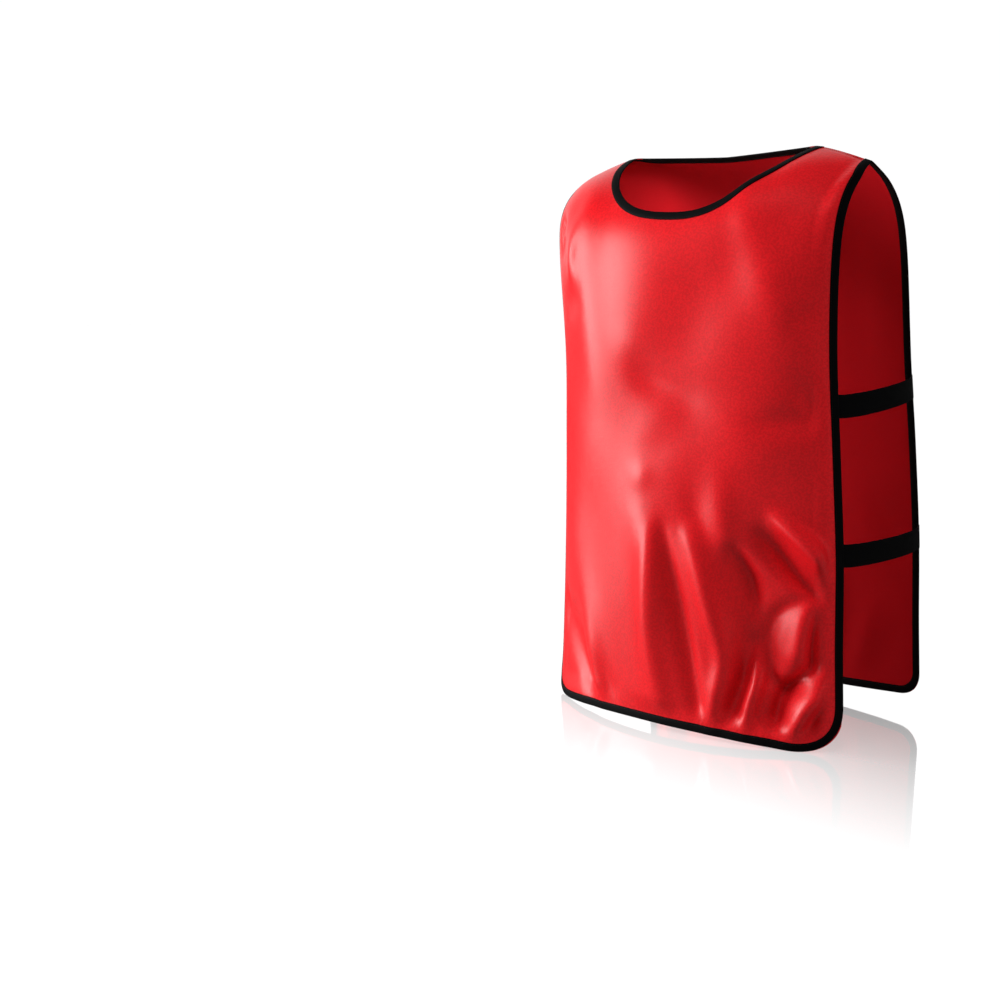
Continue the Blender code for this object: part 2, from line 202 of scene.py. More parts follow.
def makeLights(setup):
    middle = Vector(setup["lightsAim"])
    for name, (azimuth, elevation, distance, width, height, watts, sheen) in setup["lights"].items():
        data = bpy.data.lights.new(name, "AREA")
        data.shape = "RECTANGLE"
        data.size, data.size_y, data.energy = width, height, watts
        light = bpy.data.objects.new(name, data)
        bpy.context.scene.collection.objects.link(light)
        a, e = math.radians(azimuth), math.radians(elevation)
        away = Vector((math.sin(a) * math.cos(e), -math.cos(a) * math.cos(e), math.sin(e)))
        light.matrix_world = aimedAt(middle + away * distance, middle)
        light.visible_glossy = sheen
    # a pale room: white to the camera and, behind the bib, in a mirror, and soft light everywhere else
    world = bpy.data.worlds.new("paleStudio")
    bpy.context.scene.world = world
    world.use_nodes = True
    room = Shader.of(world.node_tree)
    seen = room.node("ShaderNodeLightPath")
    inMirror = Socket(room, seen.link.node.outputs["Is Glossy Ray"])
    heading = cameraSetup["azimuth"] + cameraSetup["turn"]
    ahead = (-math.sin(heading), math.cos(heading), 0)
    way = room.node("ShaderNodeTexCoord", output="Generated")
    dot = {"operation": "DOT_PRODUCT"}
    toward = room.node("ShaderNodeVectorMath", dot, {0: way, 1: ahead}, output="Value")
    backdrop = toward.steps(*setup["backdropEdges"])
    unseen = setup["worldLight"] * (1 - inMirror) + backdrop * inMirror
    surface = room.tree.nodes["Background"]
    surface.inputs["Color"].default_value = (1, 1, 1, 1)
    strength = unseen * (1 - seen) + seen * setup["worldStrength"]
    room.tree.links.new(strength.link, surface.inputs["Strength"])


# the general form that the bib is filled out to; a drop is a depth below the neck points
bodyForm = {
    "neckHalf": 0.126,
    "shoulderHalf": 0.1945,
    "shoulderFall": 0.021,   # from the neck points to the shoulder tips
    "softNeck": 0.005,
    "shoulderPower": 1.25,
    # a section a row: drop, half width, then y at the front's middle and edge and the back's edge and middle
    "sections": np.array((
        (0.000, 0.1971, -0.145, -0.073, 0.087, 0.099),
        (0.050, 0.1971, -0.145, -0.074, 0.090, 0.101),
        (0.118, 0.1919, -0.137, -0.065, 0.101, 0.113),
        (0.230, 0.1874, -0.126, -0.054, 0.120, 0.132),
        (0.342, 0.1908, -0.119, -0.047, 0.133, 0.145),
        (0.454, 0.1949, -0.115, -0.042, 0.141, 0.153),
        (0.566, 0.1971, -0.114, -0.042, 0.144, 0.156),
        (0.622, 0.1990, -0.115, -0.042, 0.145, 0.157),
        (0.700, 0.2025, -0.117, -0.045, 0.143, 0.155),
    )),
    # from the shoulder seam the cloth arches out to the sections, a little faster at the tips
    "archFrom": 0.6,         # share of the neck's half width where the arch begins to change
    "archDropNeck": 0.050,
    "archDropTip": 0.036,
    "archPowerNeck": 0.97,
    "archPowerTip": 0.98,
    "archRun": 0.070,        # cloth that the arch takes up beyond its depth
    "archRunDrop": 0.030,
    "seamGap": 0.0003,
    "readings": 4000,        # of the curve that turns a run of cloth into a depth
    "feeler": 0.0006,        # distance of the neighbours that a normal is read from
}
sectionColumns = {"halfWidth": 1, "frontMiddle": 2, "frontEdge": 3, "backEdge": 4, "backMiddle": 5}


def smoothStep(value):
    value = np.clip(value, 0.0, 1.0)
    return value * value * (3.0 - 2.0 * value)


def readSection(drop, column):
    # one column of the sections at any drop, on a smooth curve through the rows
    rows = bodyForm["sections"]
    drops, values = rows[:, 0], rows[:, sectionColumns[column]]
    slopes = np.gradient(values, drops)
    drop = np.clip(drop, drops[0], drops[-1])
    row = np.clip(np.searchsorted(drops, drop, side="right") - 1, 0, len(drops) - 2)
    height = drops[row + 1] - drops[row]
    part = (drop - drops[row]) / height
    bend = part * part * (3.0 - 2.0 * part)
    rise = part * (1.0 - part) ** 2 * slopes[row] - part * part * (1.0 - part) * slopes[row + 1]
    return values[row] * (1.0 - bend) + values[row + 1] * bend + rise * height


def shoulderDrop(x):
    # falls from the neck point to the tip, and begins softly
    span, soft = bodyForm["shoulderHalf"] - bodyForm["neckHalf"], bodyForm["softNeck"]
    past = soft * np.log1p(np.exp((np.abs(x) - bodyForm["neckHalf"]) / soft))
    return bodyForm["shoulderFall"] * (past / span) ** bodyForm["shoulderPower"]


def runOf(depth):
    # run of cloth down to a point this deep below the shoulder line
    return depth + bodyForm["archRun"] * (1.0 - np.exp(-depth / bodyForm["archRunDrop"]))


def depthOf(run):
    depths = np.linspace(0.0, bodyForm["sections"][-1, 0], bodyForm["readings"])
    return np.interp(run, runOf(depths), depths)


def cutPoint(x, drop):
    return np.stack([x, runOf(np.maximum(drop - shoulderDrop(x), 0.0))], axis=-1)


def bodyPoint(x, run, cut):
    # point of the smooth form, from x and the run of cloth down from the shoulder
    form = bodyForm
    depth = depthOf(run)
    drop = depth + shoulderDrop(x)
    across = np.clip(x / readSection(drop, "halfWidth"), -1.0, 1.0)
    flat = math.sqrt(1.0 - cut["roundness"] ** 2)
    bow = (np.sqrt(1.0 - (cut["roundness"] * across) ** 2) - flat) / (1.0 - flat)
    side = "front" if cut["facing"] < 0 else "back"
    middle, edge = readSection(drop, side + "Middle"), readSection(drop, side + "Edge")
    archFrom = form["archFrom"] * form["neckHalf"]
    outward = smoothStep((np.abs(x) - archFrom) / (form["shoulderHalf"] - archFrom))
    archDrop = form["archDropNeck"] + (form["archDropTip"] - form["archDropNeck"]) * outward
    power = form["archPowerNeck"] + (form["archPowerTip"] - form["archPowerNeck"]) * outward
    arch = (1.0 - np.exp(-np.maximum(depth, 0.0) / archDrop)) ** power
    y = (edge + (middle - edge) * bow) * arch + cut["facing"] * form["seamGap"] / 2
    return np.stack(np.broadcast_arrays(x, y, -drop), axis=-1)


def normalOf(surface, x, run, cut):
    step = bodyForm["feeler"]
    run = np.maximum(run, step)
    across = surface(x + step, run, cut) - surface(x - step, run, cut)
    down = surface(x, run + step, cut) - surface(x, run - step, cut)
    normal = cut["facing"] * np.cross(across, down)
    return normal / np.linalg.norm(normal, axis=-1, keepdims=True)


creasing = {
    "perMetre": 1000,       # the rows of a crease are in millimetres
    "spacing": 0.6,         # of the mounds on a line, in its narrowest half widths
    "more": 3,              # mounds beyond those
    "reach": 3.0,           # in half widths, past which a crease is left out
    "edgeShare": 0.8,       # of the binding's width, where the cloth stays smooth
}


def smoothLine(points, count):
    # a smooth curve through a few rows of numbers, as so many rows
    points = np.array(points, float)
    padded = np.concatenate([2 * points[:1] - points[1:2], points, 2 * points[-1:] - points[-2:-1]])
    places = np.linspace(0, len(points) - 1, count)
    row = np.minimum(places.astype(int), len(points) - 2)
    t = (places - row)[:, None]
    a, b, c, d = (padded[row + i] for i in range(4))
    return b + 0.5 * t * (c - a + t * (2 * a - 5 * b + 4 * c - d + t * (3 * (b - c) + d - a)))


def creaseHeight(x, drop, crease):
    # soft mounds strung along a line; a row has x, drop, half width and height, in millimetres
    rough, perMetre = np.array(crease, float), creasing["perMetre"]
    size = np.linalg.norm(np.diff(rough[:, :2], axis=0), axis=1).sum()
    line = smoothLine(crease, int(size / (creasing["spacing"] * rough[:, 2].min())) + creasing["more"])
    step = np.linalg.norm(np.gradient(line[:, :2], axis=0), axis=1)
    height = np.zeros(x.shape)
    for (midX, midDrop, width, lift), reach in zip(line, step):
        share = reach / (width * math.sqrt(math.pi))
        off = ((x * perMetre - midX) ** 2 + (drop * perMetre - midDrop) ** 2) / width**2
        height += lift / perMetre * share * np.exp(-off)
    return height


def foldHeight(x, run, cut):
    # all the creases together, dying away at the seams and edges
    drop = depthOf(run) + shoulderDrop(x)
    height = np.zeros(np.broadcast(x, run).shape)
    x, drop = np.broadcast_arrays(x, drop)
    for crease in cut["creases"]:
        reach = max(row[2] for row in crease) / creasing["perMetre"] * creasing["reach"]
        xs, drops = ([row[i] / creasing["perMetre"] for row in crease] for i in (0, 1))
        close = (x > min(xs) - reach) & (x < max(xs) + reach)
        close &= (drop > min(drops) - reach) & (drop < max(drops) + reach)
        if close.any():
            height[close] += creaseHeight(x[close], drop[close], crease)
    flat = creasing["edgeShare"] * binding["width"]
    side = smoothStep((readSection(drop, "halfWidth") - np.abs(x) - flat) / cut["sideCalm"])
    hem = smoothStep((hemDrop(x, cut) - drop - flat) / cut["hemCalm"])
    hem = cut["hemFold"] + (1.0 - cut["hemFold"]) * hem
    return height * side * hem * smoothStep(drop / cut["topCalm"])


def clothPoint(x, run, cut):
    normal = normalOf(bodyPoint, x, run, cut)
    return bodyPoint(x, run, cut) + normal * foldHeight(x, run, cut)[..., None]


# near is the wearer's left, +X, and far the right
frontPanel = {
    "facing": -1,
    "length": 0.6750,     # straight down from the neck points to the ends of the hem
    "neckDrop": 0.0715,
    "neckPower": 2.6,     # the higher, the squarer the scoop
    "hemRise": 0.011,     # of the hem's middle above its ends
    "hemCorner": 0.050,
    "cornerPower": 2.9,
    "roundness": 0.987,   # of the sections: near 0 a parabola, at 1 half an oval
    "columns": 170,
    "rows": 250,
    "crowd": 1.25,        # how much closer the columns stand towards the sides
    "wall": 0.0006,
    "lift": 0.0006,       # middle of the cloth, out from the CAD wall's inner face
    "seamTurn": 0.003,    # run over which the lift turns straight up, so that the seam stays closed
    "sideCalm": 0.014,    # distances over which the creases die away, and the share of them left at the hem
    "topCalm": 0.040,
    "hemCalm": 0.026,
    "hemFold": 0.12,
    "pucker": 0.014,      # reach of the puckers beside a binding
    # each crease is a line of places: x, drop, half width and height in millimetres
    "creases": (
        # wide soft forms: a hollow slanting from the near shoulder to the far side, fuller cloth round it
        ((195, 35, 34, -7), (110, 115, 45, -7), (32, 205, 52, -7), (-44, 315, 46, -5), (-66, 400, 36, 0)),
        ((90, 40, 20, 5), (115, 110, 24, 4), (145, 185, 28, 5), (165, 270, 30, 0)),
        ((25, 40, 50, -5), (40, 210, 50, -4), (55, 385, 52, -5), (60, 450, 40, 0)),
        ((-125, 55, 26, 4), (-122, 110, 28, 4), (-105, 230, 28, 4), (-95, 310, 26, 0)),
        ((-105, 380, 45, -3), (-105, 440, 48, -5), (-140, 560, 34, -4), (-160, 665, 30, -5)),
        ((-35, 400, 20, 0), (-15, 470, 28, 8), (-8, 580, 28, 7), (5, 690, 28, 4)),
        ((145, 360, 45, -3), (130, 430, 45, -9), (118, 490, 42, -14),
         (118, 560, 42, -16), (122, 640, 40, -14), (124, 690, 36, -12)),
        # a soft crease across the near side, above the upper strap
        ((96, 306, 16, 0), (146, 304, 17, -5), (194, 296, 15, -6)),
        # two long folds falling to the hem at the middle, each with its crest and its trough
        ((-8, 430, 15, 2), (-12, 490, 16, 6), (-12, 540, 15, 7),
         (-6, 585, 15, 6), (6, 630, 14, 4), (14, 665, 12, 2)),
        ((2, 430, 9, -3), (14, 485, 11, -8), (26, 530, 12, -9),
         (38, 580, 12, -9), (50, 630, 11, -6), (56, 665, 10, -4)),
        ((38, 430, 13, 4), (54, 480, 14, 9), (70, 530, 14, 12),
         (84, 575, 13, 11), (76, 620, 11, 8), (70, 660, 10, 3)),
        ((78, 440, 10, 0), (98, 500, 14, -5), (102, 560, 12, -7), (98, 600, 9, -4)),
        # a short wedge above them
        ((72, 350, 18, 0), (77, 400, 16, 4), (80, 430, 13, 4), (90, 458, 8, 0)),
        ((40, 370, 16, 0), (44, 410, 14, -3), (60, 445, 10, 0)),
        # three folds drawn slanting to the near side
        ((84, 440, 9, 0), (98, 462, 11, -8), (107, 484, 12, -12), (113, 508, 12, -9), (120, 535, 10, 0)),
        ((92, 430, 9, 0), (113, 459, 10, 3), (136, 480, 11, 3), (162, 499, 9, 1)),
        ((114, 420, 10, 0), (137, 446, 11, -10), (154, 467, 11, -13), (171, 489, 9, -11), (188, 504, 6, -4)),
        ((130, 404, 10, 0), (160, 431, 10, 20), (178, 453, 10, 27), (194, 477, 9, 20)),
        # a leaf-shaped swelling and the hollow under it
        ((170, 500, 6, 0), (146, 514, 10, -6), (130, 540, 12, -9), (130, 566, 12, -7), (146, 586, 8, 0)),
        ((172, 508, 7, 3), (167, 530, 10, 8), (163, 555, 10, 8), (156, 574, 8, 3)),
        ((178, 516, 6, -5), (176, 548, 8, -12), (179, 580, 8, -11)),
        ((110, 552, 10, -3), (128, 586, 12, -9), (148, 606, 10, -9), (166, 594, 9, -5)),
        # creases fanning out of the near hem corner
        ((98, 566, 9, 0), (100, 600, 10, -8), (91, 630, 10, -9), (83, 668, 9, -6)),
        ((120, 562, 8, 5), (121, 594, 9, 13), (114, 622, 9, 13), (108, 660, 8, 9)),
        ((180, 574, 8, -4), (160, 598, 9, -12), (146, 617, 9, -14), (141, 645, 9, -11), (138, 668, 9, -6)),
        ((195, 586, 8, 5), (181, 606, 9, 12), (170, 623, 9, 14), (162, 645, 8, 10), (158, 668, 8, 6)),
        ((195, 605, 6, -3), (184, 628, 6, -8), (173, 655, 7, -6)),
        # lower far side
        ((-195, 540, 20, -4), (-150, 585, 24, -7), (-118, 635, 14, -9), (-95, 690, 10, -4)),
        ((-155, 440, 36, 2), (-105, 605, 18, 8), (-60, 680, 16, 6)),
        ((-105, 595, 14, 0), (-78, 640, 13, -6), (-52, 695, 10, -3)),
        # the far shoulder: full, with two small wrinkles
        ((-165, 22, 26, 5), (-150, 45, 26, 3)),
        ((-188, 60, 12, 4), (-172, 82, 8, -6), (-165, 130, 8, 0)),
        ((-140, 60, 18, -4), (-138, 120, 10, 5), (-140, 180, 18, -4)),
        # small uneven places in the middle
        ((-40, 215, 24, 4), (-28, 258, 20, -5), (38, 285, 24, -5)),
        ((168, 180, 10, -3), (150, 240, 20, 0), (174, 284, 12, -7)),
        ((110, 255, 48, -4), (-10, 345, 22, -2), (-30, 380, 14, 5)),
    ),
}
backPanel = {
    "facing": 1,
    "length": 0.649,
    "neckDrop": 0.005,
    "neckPower": 1.2,
    "hemRise": -0.010,
    "hemCorner": 0.026,
    "cornerPower": 2.2,
    "roundness": 0.8,
    "columns": 120,
    "rows": 180,
    "crowd": 1.25,
    "wall": 0.0006,
    "lift": 0.0006,
    "seamTurn": 0.003,
    "sideCalm": 0.020,
    "topCalm": 0.060,
    "hemCalm": 0.035,
    "hemFold": 0.12,
    "pucker": 0.014,
    "creases": (
        # wide soft forms, like those of the front
        ((-140, 50, 34, 0), (-50, 150, 42, -6), (50, 290, 36, -4), (90, 380, 30, 0)),
        ((130, 60, 26, 0), (118, 170, 30, 5), (130, 290, 28, 0)),
        ((-60, 330, 36, 0), (-76, 430, 44, -5), (-84, 540, 40, -6), (-88, 660, 32, -4)),
        # long folds falling to the hem
        ((24, 400, 13, 0), (6, 490, 17, -8), (-18, 570, 18, -9), (-40, 660, 13, -4)),
        ((58, 410, 13, 0), (48, 510, 17, 8), (28, 590, 17, 8), (6, 665, 13, 3)),
        ((92, 460, 12, 0), (80, 560, 14, -6), (62, 655, 12, -3)),
        # folds drawn slanting to the strap ends
        ((-90, 400, 10, 0), (-128, 445, 12, -9), (-166, 490, 9, -8), (-190, 515, 7, 0)),
        ((-112, 385, 10, 0), (-146, 428, 12, 8), (-176, 470, 9, 9), (-193, 498, 7, 0)),
        ((98, 410, 12, 0), (132, 458, 16, -3), (168, 500, 12, -2), (190, 522, 9, 0)),
        ((118, 395, 12, 0), (152, 440, 16, 3), (180, 478, 12, 2), (193, 500, 9, 0)),
        # creases fanning out of the hem corners
        ((138, 530, 12, 0), (124, 585, 15, -4), (112, 655, 13, -2)),
        ((172, 545, 14, 0), (158, 600, 16, 2), (146, 660, 14, 1)),
        ((-150, 535, 9, 0), (-138, 590, 12, 8), (-116, 655, 11, 4)),
        ((-176, 545, 8, 0), (-164, 605, 9, -7), (-152, 660, 9, -4)),
    ),
}


def hemDrop(x, cut):
    # drop of the cut line under each x, its corners rounded
    size, power = cut["hemCorner"], cut["cornerPower"]
    half = readSection(cut["length"] - size, "halfWidth")
    into = np.clip((np.abs(x) - (half - size)) / size, 0.0, 1.0)
    corner = size * (1.0 - (1.0 - into**power) ** (1.0 / power))
    return cut["length"] - corner - cut["hemRise"] * (1.0 - (x / half) ** 2)


def sideHalf(drop):
    # half width of the cut, which starts at the shoulder tip
    fall = bodyForm["shoulderFall"]
    widen = smoothStep((drop - fall) / fall)
    return bodyForm["shoulderHalf"] + (readSection(drop, "halfWidth") - bodyForm["shoulderHalf"]) * widen


def neckDropAt(x, cut):
    across = np.clip(np.abs(x) / bodyForm["neckHalf"], 0.0, 1.0)
    return cut["neckDrop"] * (1.0 - across ** cut["neckPower"])


def panelPlaces(across, down, cut):
    # x and run of a point of the panel, from its share of the way across and down
    half = readSection(cut["length"] - cut["hemCorner"], "halfWidth")
    topX = across * bodyForm["shoulderHalf"]
    top = np.maximum(neckDropAt(topX, cut), shoulderDrop(topX))
    bottom = hemDrop(across * half, cut)
    drop = top + (bottom - top) * down
    x = across * sideHalf(drop)
    return x, runOf(np.maximum(drop - shoulderDrop(x), 0.0))


def newPiece(name, mesh, materials, smooth=True):
    data = bpy.data.meshes.new(name)
    mesh.to_mesh(data)
    mesh.free()
    for material in materials:
        data.materials.append(material)
    if smooth:
        data.shade_smooth()
    piece = bpy.data.objects.new(name, data)
    bpy.context.scene.collection.objects.link(piece)
    return piece


def makePanel(name, cut, materials):
    mesh = bmesh.new()
    columns, rows = cut["columns"], cut["rows"]
    bmesh.ops.create_grid(mesh, x_segments=columns, y_segments=rows, size=1.0)
    mesh.verts.ensure_lookup_table()
    grid = np.array([vertex.co for vertex in mesh.verts])
    across, down = grid[:, 0], (1.0 - grid[:, 1]) / 2.0
    across = np.sin(across * cut["crowd"]) / math.sin(cut["crowd"])
    x, run = panelPlaces(across, down, cut)
    places = clothPoint(x, run, cut)
    lifted = normalOf(clothPoint, x, run, cut)
    lifted[:, 1] *= smoothStep(run / cut["seamTurn"])
    places += lifted * cut["lift"]
    layer = mesh.loops.layers.uv.new("cut")
    sideNear, hemNear = (mesh.verts.layers.float.new(edge) for edge in ("sideNear", "hemNear"))
    drop = depthOf(run) + shoulderDrop(x)
    toSide = sideHalf(drop) - np.abs(x)
    pastNeck = np.abs(x) > bodyForm["neckHalf"]      # a whole metre more, as there is no neck edge there
    toHem = np.minimum(hemDrop(x, cut) - drop, drop - neckDropAt(x, cut) + pastNeck)
    flat = creasing["edgeShare"] * binding["width"]
    near = [1.0 - smoothStep((gap - flat) / cut["pucker"]) for gap in (toSide, toHem)]
    for vertex, place, beside, below in zip(mesh.verts, places, *near):
        vertex.co = place
        vertex[sideNear], vertex[hemNear] = beside, below
    for face in mesh.faces:
        for loop in face.loops:
            i = loop.vert.index
            loop[layer].uv = (x[i], -run[i])
    if cut["facing"] > 0:
        bmesh.ops.reverse_faces(mesh, faces=mesh.faces)
    piece = newPiece(name, mesh, materials)
    wall = piece.modifiers.new("cloth", "SOLIDIFY")
    wall.thickness, wall.offset = cut["wall"], 0.0
    wall.material_offset = 1
    wall.material_offset_rim = 0
    return piece


# tape folded over the edges
binding = {
    "width": 0.0095,
    "tape": 0.0005,         # thickness
    "clothRoom": 0.00045,   # half the room between the two legs of the fold
    "station": 0.0035,      # about, along the edge
    "round": 5,             # steps in the round of the fold
    "foldFrom": 0.06,       # where the round of the fold begins, as a share of the width
    "foldTip": 0.6,         # how far past that the hollow reaches, in half rooms
    "edgeFrom": 0.985,      # where the woven edge begins to round
    "edgeRound": 0.3,       # of the tape's thickness
    "swell": 0.08,          # of its thickness too, at the middle of each leg
    "turnLevel": 0.03,      # along the edge, over which the tape turns level towards the shoulder seam
    "seamSpread": 0.35,     # least squared length of a shared normal at the seam
}
# points that the parts of a cut line are read at, before it is divided into stations
cutReadings = {"side": 500, "corner": 60, "hem": 90, "neck": 300}


def evenly(curve, spacing):
    # the same curve in even steps of about the spacing
    steps = np.linalg.norm(np.diff(curve, axis=0), axis=1)
    travelled = np.concatenate([[0.0], np.cumsum(steps)])
    places = np.linspace(0.0, travelled[-1], round(travelled[-1] / spacing) + 1)
    return np.stack([np.interp(places, travelled, curve[:, i]) for i in (0, 1)], axis=1)


def mirrored(half):
    # half a cut line, and its mirror image after it
    other = half[-2::-1] * np.array((-1.0, 1.0))
    half[-1, 0] = 0.0
    return np.concatenate([half, other])


def sideAndHem(cut):
    # cut line from the left shoulder tip, down the side and along the hem, to the right tip
    corner = cut["hemCorner"]
    drops = np.linspace(bodyForm["shoulderFall"], cut["length"] - corner, cutReadings["side"])
    halves = sideHalf(drops)
    turn = np.linspace(0.0, math.pi / 2, cutReadings["corner"])[1:]
    inner = halves[-1] - corner
    rounded = inner + corner * np.cos(turn) ** (2.0 / cut["cornerPower"])
    hemX = np.concatenate([rounded, np.linspace(inner, 0.0, cutReadings["hem"])[1:]])
    x = np.concatenate([halves, hemX])
    drop = np.concatenate([drops, hemDrop(hemX, cut)])
    return mirrored(evenly(cutPoint(x, drop), binding["station"]))


def neckLine(cut):
    x = np.linspace(bodyForm["neckHalf"], 0.0, cutReadings["neck"])
    return mirrored(evenly(cutPoint(x, neckDropAt(x, cut)), binding["station"]))


def edgeFrames(chain, cut, inwardSign):
    # at each station: place, outward normal, way into the panel as wide as the tape, and the normal there
    along = np.gradient(chain, axis=0)
    along /= np.linalg.norm(along, axis=1, keepdims=True)
    inward = np.stack([-along[:, 1], along[:, 0]], axis=1) * inwardSign
    level = np.stack([-np.sign(chain[:, 0]) * inwardSign, np.zeros(len(chain))], axis=1)
    count = np.arange(len(chain))
    share = smoothStep(np.minimum(count, count[::-1]) * binding["station"] / binding["turnLevel"])[:, None]
    inward = inward * share + level * (1.0 - share)
    inward /= np.linalg.norm(inward, axis=1, keepdims=True)
    inward[[0, -1], 1] = 0.0
    x, run = chain.T
    place = clothPoint(x, run, cut)
    normal = normalOf(clothPoint, x, run, cut)
    width, length = binding["width"], binding["width"]
    for _ in range(2):      # a first step, then one that is as long on the cloth as the tape is wide
        step = chain + inward * width * (width / length)
        step[:, 1] = np.maximum(step[:, 1], 0.0)
        reach = clothPoint(*step.T, cut) - place
        length = np.linalg.norm(reach, axis=1, keepdims=True)
    inner = normalOf(clothPoint, *step.T, cut)
    lift = cut["lift"]
    return np.concatenate([place + normal * lift, normal, reach + (inner - normal) * lift, inner], axis=1)


def bindingRing(lineOf, inwardSign):
    # the stations along one edge of both panels as a closed ring, shared at the two shoulder seams
    front, back = (edgeFrames(lineOf(cut), cut, inwardSign) for cut in (frontPanel, backPanel))
    first, last = (front[0] + back[0]) / 2, (front[-1] + back[-1]) / 2
    for shared in (first, last):
        for normal in (shared[3:6], shared[9:12]):
            normal /= max(np.linalg.norm(normal) ** 2, binding["seamSpread"])
    return np.concatenate([first[None], front[1:-1], last[None], back[-2:0:-1]])


def tapeSection():
    # the folded tape: (share of its width into the panel, distance off the cloth's middle)
    inside, tape, width = binding["clothRoom"], binding["tape"], binding["width"]
    outside, start, edge = inside + tape, binding["foldFrom"], binding["edgeFrom"]
    lip, crown = outside - binding["edgeRound"] * tape, outside + binding["swell"] * tape
    points = [(1.0, inside), (1.0, lip), (edge, outside), (0.5, crown)]
    for i in range(binding["round"] + 1):
        turn = math.pi * i / binding["round"]
        points.append((-outside * math.sin(turn) / width + start, outside * math.cos(turn)))
    points += [(0.5, -crown), (edge, -outside), (1.0, -lip), (1.0, -inside)]
    return points + [(start, -inside), (start - binding["foldTip"] * inside / width, 0.0), (start, inside)]


def makeBinding(name, ring, material):
    section = tapeSection()
    mesh = bmesh.new()
    bmesh.ops.create_grid(mesh, x_segments=len(section), y_segments=len(ring), size=1.0)
    mesh.verts.ensure_lookup_table()
    closed = np.concatenate([ring, ring[:1]])
    start, outward, inward, innerOutward = (closed[:, None, i:i + 3] for i in (0, 3, 6, 9))
    shares, lifts = (np.array(column)[None, :, None] for column in zip(*section, section[0]))
    normal = outward + (innerOutward - outward) * np.clip(shares, 0, 1)
    places = start + inward * shares + normal * lifts
    travelled = np.concatenate([[0.0], np.cumsum(np.linalg.norm(np.diff(closed[:, :3], axis=0), axis=1))])
    girth = np.concatenate([[0.0], np.cumsum(np.linalg.norm(np.diff(places[0], axis=0), axis=1))])
    layer = mesh.loops.layers.uv.new("cut")
    index = {vertex: divmod(vertex.index, len(section) + 1) for vertex in mesh.verts}
    for vertex, (row, column) in index.items():
        vertex.co = places[row, column]
    for face in mesh.faces:
        for loop in face.loops:
            row, column = index[loop.vert]
            loop[layer].uv = (travelled[row], girth[column])
    bmesh.ops.remove_doubles(mesh, verts=mesh.verts, dist=1e-6)
    bmesh.ops.recalc_face_normals(mesh, faces=mesh.faces)
    return newPiece(name, mesh, [material])


stitching = {
    "pitch": 0.0027,
    "length": 0.0021,
    "thread": 0.00042,
    "proud": 0.2,         # of the thread, off the cloth
    "around": 6,          # sides of a stitch
    "rings": 3,
    "share": 0.82,        # of the tape's width, in from its fold
    "seamAway": 0.0025,   # from the shoulder seam
    "tackPitch": 0.0016,
    "tackLength": 0.7,    # of a stitch
    "tackShares": (0.42, 0.60),
    "tackSpan": 0.44,     # of the strap's width, each way from its middle
    "readings": {"tack": 12, "seam": 30},
}


def stitchShapes(count):
    # so many small stitches in one mesh, all in one place until sewn
    one = bmesh.new()
    bmesh.ops.create_uvsphere(one, u_segments=stitching["around"], v_segments=stitching["rings"], radius=1.0)
    size, shape = len(one.verts), bpy.data.meshes.new("stitch")
    one.to_mesh(shape)
    one.free()
    mesh = bmesh.new()
    for _ in range(count):
        mesh.from_mesh(shape)
    bpy.data.meshes.remove(shape)
    mesh.verts.ensure_lookup_table()
    return mesh, size


def rowMarks(places, normals, pitch):
    # middle, direction and normal of each stitch in a row along a line of places
    steps = np.linalg.norm(np.diff(places, axis=0), axis=1)
    travelled = np.concatenate([[0.0], np.cumsum(steps)])
    marks = np.arange(pitch / 2, travelled[-1], pitch)
    read = [[np.interp(at, travelled, column) for column in rows.T]
            for at, rows in ((marks, places), (marks + pitch / 4, places), (marks, normals))]
    middles, ahead, ups = (np.stack(columns, axis=1) for columns in read)
    forward = ahead - middles
    forward /= np.linalg.norm(forward, axis=1, keepdims=True)
    aside = np.cross(ups, forward)
    aside /= np.linalg.norm(aside, axis=1, keepdims=True)
    return np.stack([middles, forward, aside, np.cross(forward, aside)], axis=1)


def sewStitches(name, rows, length, material):
    marks = np.concatenate(rows)
    mesh, size = stitchShapes(len(marks))
    thread = stitching["thread"]
    shape = np.array([vertex.co for vertex in mesh.verts[:size]])
    shape = shape[:, [2, 0, 1]] * np.array((length, thread, thread)) / 2
    shape += np.array((0, 0, stitching["proud"] * thread))
    places = marks[:, None, 0] + np.einsum("sk,mkc->msc", shape, marks[:, 1:])
    for vertex, place in zip(mesh.verts, places.reshape(-1, 3)):
        vertex.co = place
    return newPiece(name, mesh, [material])


def sewRing(name, ring, material):
    # one row on the outer leg of the tape and one on its inner leg
    closed = np.concatenate([ring, ring[:1]])
    share, lift = stitching["share"], binding["clothRoom"] + binding["tape"]
    normal = closed[:, 3:6] + (closed[:, 9:12] - closed[:, 3:6]) * share
    normal /= np.linalg.norm(normal, axis=1, keepdims=True)
    line = closed[:, :3] + closed[:, 6:9] * share
    rows = [rowMarks(line + normal * lift * face, normal * face, stitching["pitch"]) for face in (1.0, -1.0)]
    return sewStitches(name, rows, stitching["length"], material)


straps = {
    # level: drop on the front edge, drop on the back edge
    "levels": {"upper": (0.286, 0.271), "lower": (0.452, 0.451)},
    "width": 0.026,
    "wall": 0.0012,
    "lap": 0.007,         # sewn in at each end
    "lapShares": (1.0, 0.5),
    "bow": 0.055,         # the larger, the straighter a strap leaves its ends
    "under": 0.0018,      # middle of the elastic, in from the middle of the cloth's wall
    "lengthwise": 90,
    "crosswise": 20,
}


